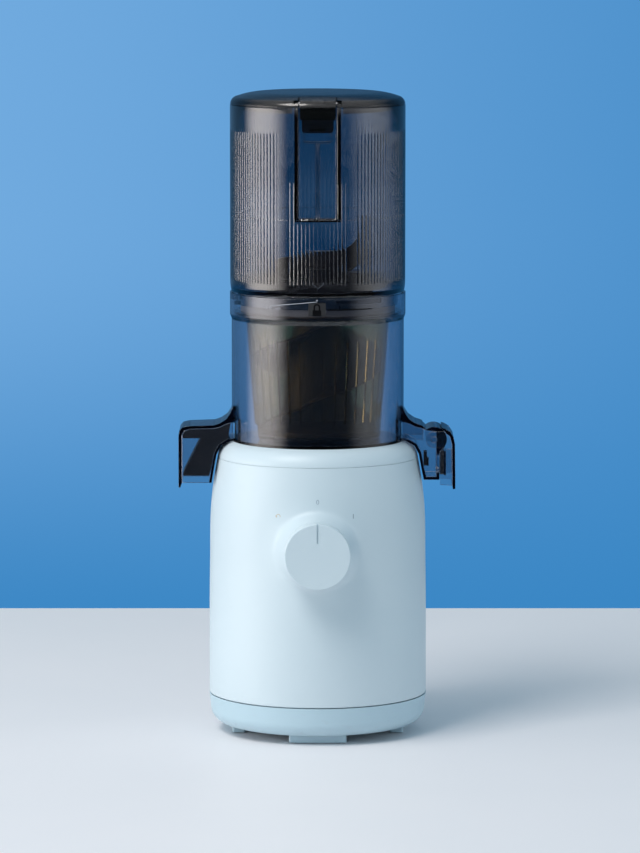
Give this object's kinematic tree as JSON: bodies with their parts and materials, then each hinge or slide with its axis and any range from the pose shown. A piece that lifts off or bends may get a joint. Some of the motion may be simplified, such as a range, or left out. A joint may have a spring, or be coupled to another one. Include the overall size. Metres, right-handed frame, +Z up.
{
  "type": "cold press juicer",
  "caption": "Self-feeding vertical slow juicer: round base with geared motor and dial, clear drum with strainer and auger, pulp and juice spouts, clear hopper with latched lid.",
  "frame": {"origin": "where the drive axis meets the table, midway between the four feet", "axes": "+Z up along the drive axis; -Y towards the front with the dial; +X towards the juice spout"},
  "size_m": [0.1818, 0.1667, 0.4233],
  "materials": {
    "blue_shell": "fine satin moulded plastic, pale blue",
    "foot_rubber": "soft grey-blue rubber",
    "smoke_clear": "clear smoke-grey plastic, polished",
    "smoke_dark": "dark smoke-grey plastic, polished",
    "amber_clear": "smoky amber-brown clear plastic",
    "dark_resin": "dark brown-black food-grade resin",
    "black_rubber": "black silicone",
    "black_resin": "black moulded plastic",
    "gear_resin": "off-white gear resin",
    "steel": "turned steel",
    "plated_steel": "zinc-plated pressed steel",
    "bearing_steel": "ground bearing steel",
    "core_steel": "stacked electrical steel",
    "cast_alloy": "die-cast alloy",
    "copper": "enamelled copper wire",
    "magnet": "sintered ferrite",
    "board": "green circuit laminate"
  },
  "bodies": {
    "base": {"bottom_cover": "blue_shell", "foot_pads": "foot_rubber", "bottom_screws": "steel", "body_shell": "blue_shell", "top_deck": "blue_shell", "deck_screws": "steel", "motor_can": "plated_steel", "stator_core": "core_steel", "stator_windings": "copper", "motor_bearings": "bearing_steel", "gearbox_housing": "cast_alloy", "ring_gear": "gear_resin", "gearbox_cover": "cast_alloy", "gearbox_screws": "steel", "gearbox_dampers": "black_rubber", "hanger_screws": "steel", "output_bearing": "bearing_steel", "spindle_seal": "black_rubber", "rotary_switch": "black_resin", "circuit_board": "board", "capacitor": "black_resin", "interlock_switch": "black_resin", "cord_gland": "foot_rubber", "gland_nut": "black_resin"},
    "rotor": {"rotor_shaft": "steel", "rotor_core": "core_steel", "rotor_magnets": "magnet", "motor_fan": "black_resin", "sun_gear": "steel"},
    "output": {"planet_carrier": "cast_alloy", "planet_pins": "steel", "output_spindle": "steel"},
    "planet_1": {"planet_gear_1": "gear_resin"},
    "planet_2": {"planet_gear_2": "gear_resin"},
    "planet_3": {"planet_gear_3": "gear_resin"},
    "dial": {"knob": "blue_shell", "switch_shaft": "steel"},
    "drum": {"drum": "smoke_clear", "drum_magnet": "magnet", "drum_seal": "black_rubber", "pulp_chute": "black_rubber", "outlet_stopper": "black_rubber", "cap_pivots": "smoke_clear", "strainer": "amber_clear"},
    "auger": {"auger": "dark_resin", "cutting_wing": "dark_resin"},
    "cap": {"juice_cap": "smoke_clear", "juice_cap_seal": "black_rubber"},
    "hopper": {"hopper": "smoke_clear", "lid_hinge_pin": "steel"},
    "lid": {"lid": "smoke_dark", "latch_pin": "steel"},
    "latch": {"lid_latch": "smoke_dark", "latch_spring": "steel"}
  },
  "joints": [
    {"name": "output_spin", "type": "hinge", "parent": "base", "child": "output", "pos_m": [0, 0, 0.15], "axis": [0, 0, 1], "continuous": true},
    {"name": "rotor_spin", "type": "hinge", "parent": "base", "child": "rotor", "pos_m": [0, 0, 0.1], "axis": [0, 0, 1], "continuous": true},
    {"name": "planet_spin_1", "type": "hinge", "parent": "output", "child": "planet_1", "pos_m": [0.0198, 0, 0.136], "axis": [0, 0, 1], "continuous": true},
    {"name": "planet_spin_2", "type": "hinge", "parent": "output", "child": "planet_2", "pos_m": [-0.0099, 0.01715, 0.136], "axis": [0, 0, 1], "continuous": true},
    {"name": "planet_spin_3", "type": "hinge", "parent": "output", "child": "planet_3", "pos_m": [-0.0099, -0.01715, 0.136], "axis": [0, 0, 1], "continuous": true},
    {"name": "dial_turn", "type": "hinge", "parent": "base", "child": "dial", "pos_m": [0, -0.085, 0.128], "axis": [0, 1, 0], "range_deg": [-48, 48]},
    {"name": "drum_lift", "type": "slide", "parent": "base", "child": "drum", "axis": [0, 0, 1], "range_m": [0, 0.15]},
    {"name": "auger_spin", "type": "hinge", "parent": "drum", "child": "auger", "pos_m": [0, 0, 0.24], "axis": [0, 0, 1], "continuous": true},
    {"name": "cap_swing", "type": "hinge", "parent": "drum", "child": "cap", "pos_m": [0.0765, 0, 0.195], "axis": [0, -1, 0], "range_deg": [0, 65]},
    {"name": "hopper_twist", "type": "hinge", "parent": "drum", "child": "hopper", "pos_m": [0, 0, 0.29], "axis": [0, 0, 1], "range_deg": [-38, 0]},
    {"name": "lid_hinge", "type": "hinge", "parent": "hopper", "child": "lid", "pos_m": [0, 0.062, 0.4115], "axis": [-1, 0, 0], "range_deg": [0, 100]},
    {"name": "latch_turn", "type": "hinge", "parent": "lid", "child": "latch", "pos_m": [0, -0.05, 0.417], "axis": [-1, 0, 0], "range_deg": [0, 12], "stiffness_Nm_per_rad": 0.08, "deforming": ["latch_spring"]}
  ],
  "couplings": [
    {"joint": "rotor_spin", "follows": "output_spin", "ratio": 6},
    {"joint": "planet_spin_1", "follows": "output_spin", "ratio": -2.5},
    {"joint": "planet_spin_2", "follows": "output_spin", "ratio": -2.5},
    {"joint": "planet_spin_3", "follows": "output_spin", "ratio": -2.5},
    {"joint": "auger_spin", "follows": "output_spin", "ratio": 1}
  ]
}
